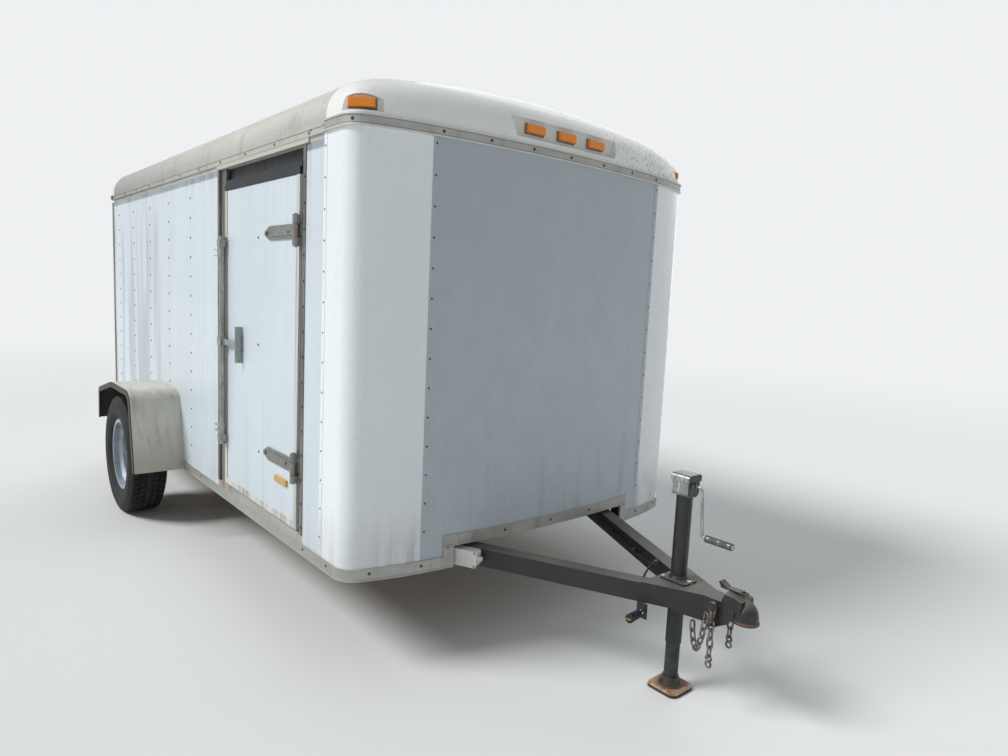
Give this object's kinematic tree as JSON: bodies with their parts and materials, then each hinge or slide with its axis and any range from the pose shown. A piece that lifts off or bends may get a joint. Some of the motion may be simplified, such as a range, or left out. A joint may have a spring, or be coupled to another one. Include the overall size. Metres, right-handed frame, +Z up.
{
  "type": "enclosed cargo trailer",
  "caption": "Enclosed single-axle cargo trailer with a bowed front, hinged side door, twin rear doors, box fenders, A-frame tongue, ball coupler and tongue jack.",
  "frame": {"origin": "on the ground, midway between the coupler's tip and the rear hinges, on the centre line", "axes": "+X forwards to the coupler, +Y to the left side, +Z up"},
  "size_m": [4.713, 2.353, 2.165],
  "materials": {
    "frame_black": "semi-gloss",
    "plywood": "matte",
    "side_white": "satin",
    "front_grey": "satin",
    "corner_white": "gloss",
    "trim_beige": "satin",
    "roof_metal": "satin",
    "cove_grey": "satin",
    "cap_white": "gloss",
    "jamb_grey": "satin",
    "zinc": "satin",
    "fender_grey": "satin",
    "plastic_white": "satin",
    "lamp_amber": "gloss",
    "lamp_red": "gloss",
    "chain_zinc": "satin",
    "cable_black": "semi-gloss",
    "hub_steel": "semi-gloss",
    "rim_silver": "satin",
    "tyre": "matte"
  },
  "bodies": {
    "trailer": {"frame_side_rails": "frame_black", "frame_crossmembers": "frame_black", "tongue_rails": "frame_black", "floor_deck": "plywood", "side_wall_left": "side_white", "side_wall_right": "side_white", "front_panel": "front_grey", "corner_panels": "corner_white", "lower_trim": "trim_beige", "top_band": "trim_beige", "roof_panel": "roof_metal", "roof_coves": "cove_grey", "front_cap": "cap_white", "rear_cap": "cap_white", "side_door_frame": "jamb_grey", "side_door_threshold": "trim_beige", "side_hinge_posts": "zinc", "rear_frame": "jamb_grey", "rear_hinge_posts": "zinc", "axle_beam": "frame_black", "axle_arms": "frame_black", "fenders": "fender_grey", "coupler_channel": "frame_black", "coupler_head": "frame_black", "coupler_latch": "zinc", "jack_tube": "frame_black", "jack_head": "zinc", "jack_crank": "zinc", "junction_box": "plastic_white", "safety_chain_left": "chain_zinc", "safety_chain_right": "chain_zinc", "wiring_cable": "cable_black", "wiring_plug": "cable_black", "lamps_amber": "lamp_amber", "lamps_red": "lamp_red"},
    "side_door": {"side_door_leaf": "side_white", "side_hinge_straps": "zinc", "side_lock_bar": "zinc", "side_door_reflector": "lamp_amber"},
    "rear_door_left_body": {"rear_door_left": "side_white", "rear_hardware_left": "zinc"},
    "rear_door_right_body": {"rear_door_right": "side_white", "rear_hardware_right": "zinc"},
    "jack_foot": {"jack_leg": "zinc"},
    "wheel_set_left": {"hub_left": "hub_steel", "wheel_left": "rim_silver", "tyre_left": "tyre"},
    "wheel_set_right": {"hub_right": "hub_steel", "wheel_right": "rim_silver", "tyre_right": "tyre"}
  },
  "joints": [
    {"name": "side_door_hinge", "type": "hinge", "parent": "trailer", "child": "side_door", "pos_m": [0.87425, -0.9325, 1.14], "axis": [0, 0, 1], "range_deg": [0, 180]},
    {"name": "rear_door_left_hinge", "type": "hinge", "parent": "trailer", "child": "rear_door_left_body", "pos_m": [-2.3435, 0.85375, 1.13], "axis": [0, 0, -1], "range_deg": [0, 180]},
    {"name": "rear_door_right_hinge", "type": "hinge", "parent": "trailer", "child": "rear_door_right_body", "pos_m": [-2.3435, -0.85375, 1.13], "axis": [0, 0, 1], "range_deg": [0, 180]},
    {"name": "jack_slide", "type": "slide", "parent": "trailer", "child": "jack_foot", "axis": [0, 0, 1], "range_m": [-0.13, 0.12]},
    {"name": "wheel_left_spin", "type": "hinge", "parent": "trailer", "child": "wheel_set_left", "pos_m": [-1.0995, 1.06, 0.344], "axis": [0, 1, 0], "continuous": true},
    {"name": "wheel_right_spin", "type": "hinge", "parent": "trailer", "child": "wheel_set_right", "pos_m": [-1.0995, -1.06, 0.344], "axis": [0, 1, 0], "continuous": true}
  ]
}
